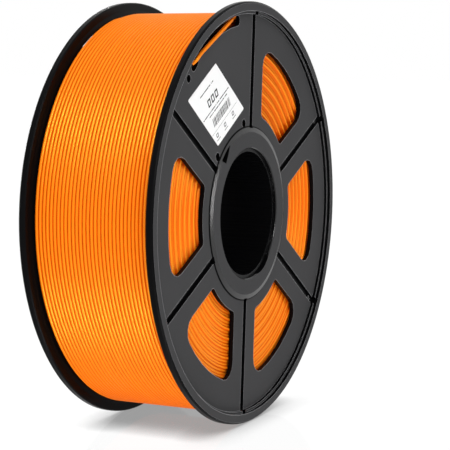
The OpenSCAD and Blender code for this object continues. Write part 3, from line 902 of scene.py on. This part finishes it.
    def print_marks(self, label, finish):
        """Makes each mark a flat box on the paper: its corner is the label's middle
        plus its places along and down times their directions."""
        along, _ = self.sides(label)
        square = np.array([along[1], -along[0]])
        bars = np.array(self.marks()) * MM
        corner = self.middle() + bars[:, :1] * along + bars[:, 1:2] * square
        wide, high = bars[:, 2:3] * along, bars[:, 3:4] * square
        flat = np.stack([corner, corner + high, corner + high + wide, corner + wide], axis=1)
        paper = LABEL_FACE + LABEL_T
        levels = [np.stack([flat[..., 0], np.full(flat.shape[:2], -out), flat[..., 1]], axis=-1)
                  for out in (paper, paper + label.ink)]
        points = np.concatenate(levels, axis=1).reshape(-1, 3)
        box = np.array([[0, 3, 2, 1], [4, 5, 6, 7], [0, 1, 5, 4], [1, 2, 6, 5],
                        [2, 3, 7, 6], [3, 0, 4, 7]])
        faces = (np.arange(len(bars))[:, None, None] * 8 + box).reshape(-1, 4)
        ink = new_piece("label_print", points, faces.tolist(), smooth=False)
        dress(ink, thermal_ink(finish))


class REEL_OT_stage(bpy.types.Operator):
    """Sets the table, the soft lamps, the white surroundings and the camera"""
    bl_idname = "reel.stage"
    bl_label = "Stage"

    # Lamp: direction from the reel, then distance, width and height in m, and power in W
    LAMPS = {
        "Face_softbox": ((-0.35, -0.86, 0.34), 1.2, 0.35, 0.35, 2.1),
        "Upper_left_softbox": ((-0.6, -0.29, 0.746), 1.1, 1.2, 0.45, 9.0),
        "Lower_left_softbox": ((-0.53, -0.35, -0.77), 1.1, 1.2, 0.55, 9.5),
        "Front_right_strip": ((0.6, -0.8, 0.0), 1.4, 0.1, 0.3, 1.0),
        "Window_strip": ((0.38, -0.92, -0.1), 1.3, 0.06, 0.9, 1.1),
        "Top_softbox": ((0.1, 0.1, 1.0), 1.3, 1.2, 1.2, 2.0),
        "Back_softbox": ((0.6, 0.75, 0.28), 1.5, 1.0, 1.0, 4.0),
    }
    FLOOR_SIZE = 12.0     # m
    SENSOR_WIDTH = 36     # mm

    def floor(self):
        """A square table that the reel stands on."""
        half, low = self.FLOOR_SIZE / 2, -REEL_R
        points = [(-half, -half, low), (half, -half, low), (half, half, low), (-half, half, low)]
        mesh = bpy.data.meshes.new("Table")
        mesh.from_pydata(points, [], [(0, 1, 2, 3)])
        table = bpy.data.objects.new("Table", mesh)
        bpy.context.scene.collection.objects.link(table)
        dress(table, white_table())
        # The lower lamp shines through the table, as on a light table
        table.visible_shadow = False

    def lamps(self, level):
        """Soft lamps that face the middle of the bore."""
        for name, (direction, distance, width, height, power) in self.LAMPS.items():
            lamp = bpy.data.lights.new(name, "AREA")
            lamp.shape = "RECTANGLE"
            lamp.size, lamp.size_y = width, height
            lamp.energy = power * level
            # Straight from each lamp, so that the lower one's highlight passes the table
            lamp.cycles.use_multiple_importance_sampling = False
            holder = bpy.data.objects.new(name, lamp)
            way = Vector(direction).normalized()
            holder.matrix_world = (Matrix.Translation(way * distance)
                                   @ (-way).to_track_quat("-Z", "Y").to_matrix().to_4x4())
            bpy.context.scene.collection.objects.link(holder)

    def world(self, level):
        """Even pale light, which the camera and reflections see as plain white."""
        world = bpy.data.worlds.new("White_surroundings")
        world.use_nodes = True
        tree = world.node_tree
        tree.nodes.clear()
        strength = add(tree, "ShaderNodeMapRange",
                       {"Value": backdrop_ray(tree), "To Min": level, "To Max": 1.0})
        light = add(tree, "ShaderNodeBackground",
                    {"Color": (1, 1, 1, 1), "Strength": strength.outputs[0]})
        add(tree, "ShaderNodeOutputWorld", {"Surface": light.outputs[0]})
        bpy.context.scene.world = world

    def camera(self, stage):
        """A camera at its distance and angles from the bore, turned to the aim."""
        a, e = stage.azimuth, stage.elevation
        place = stage.distance * Vector((math.sin(a) * math.cos(e),
                                         -math.cos(a) * math.cos(e), math.sin(e)))
        look = (Vector(stage.aim) - place).to_track_quat("-Z", "Y").to_matrix().to_4x4()
        lens = bpy.data.cameras.new("Camera")
        lens.lens, lens.sensor_width = stage.lens, self.SENSOR_WIDTH
        camera = bpy.data.objects.new("Camera", lens)
        camera.matrix_world = (Matrix.Translation(place) @ look
                               @ Matrix.Rotation(-stage.roll, 4, "Z"))
        bpy.context.scene.collection.objects.link(camera)
        bpy.context.scene.camera = camera

    def execute(self, context):
        stage = context.scene.reel_stage
        self.floor()
        self.lamps(stage.lamp_level)
        self.world(stage.world_level)
        self.camera(stage)
        context.scene.view_settings.view_transform = "Standard"
        return {"FINISHED"}


class REEL_PT_panel(bpy.types.Panel):
    """Sizes, colours and steps of the reel"""
    bl_idname = "REEL_PT_panel"
    bl_label = "Filament Reel"
    bl_space_type = "VIEW_3D"
    bl_region_type = "UI"
    bl_category = "Reel"

    def draw(self, context):
        """A button for each step, then a box with each group's values."""
        for operator in OPERATORS:
            self.layout.operator(operator.bl_idname)
        for name, group in SETTINGS.items():
            box = self.layout.box()
            for key in group.__annotations__:
                box.prop(getattr(context.scene, name), key)


SETTINGS = {
    "reel_winding": ReelWindingSettings,
    "reel_label": ReelLabelSettings,
    "reel_finish": ReelFinishSettings,
    "reel_stage": ReelStageSettings,
}
OPERATORS = (REEL_OT_stage, REEL_OT_flanges, REEL_OT_hub, REEL_OT_inner_layers,
             REEL_OT_outer_layer, REEL_OT_label)
CLASSES = (*SETTINGS.values(), *OPERATORS, REEL_PT_panel)


def register():
    """Registers the classes and hangs the settings on the scene."""
    for cls in CLASSES:
        bpy.utils.register_class(cls)
    for name, group in SETTINGS.items():
        setattr(bpy.types.Scene, name, PointerProperty(type=group))


def unregister():
    """Takes the settings off the scene and the classes out again."""
    for name in SETTINGS:
        delattr(bpy.types.Scene, name)
    for cls in reversed(CLASSES):
        bpy.utils.unregister_class(cls)


def main():
    """Makes every piece in order."""
    register()
    for operator in OPERATORS:
        group, name = operator.bl_idname.split(".")
        getattr(getattr(bpy.ops, group), name)()


if __name__ == "__main__":
    main()
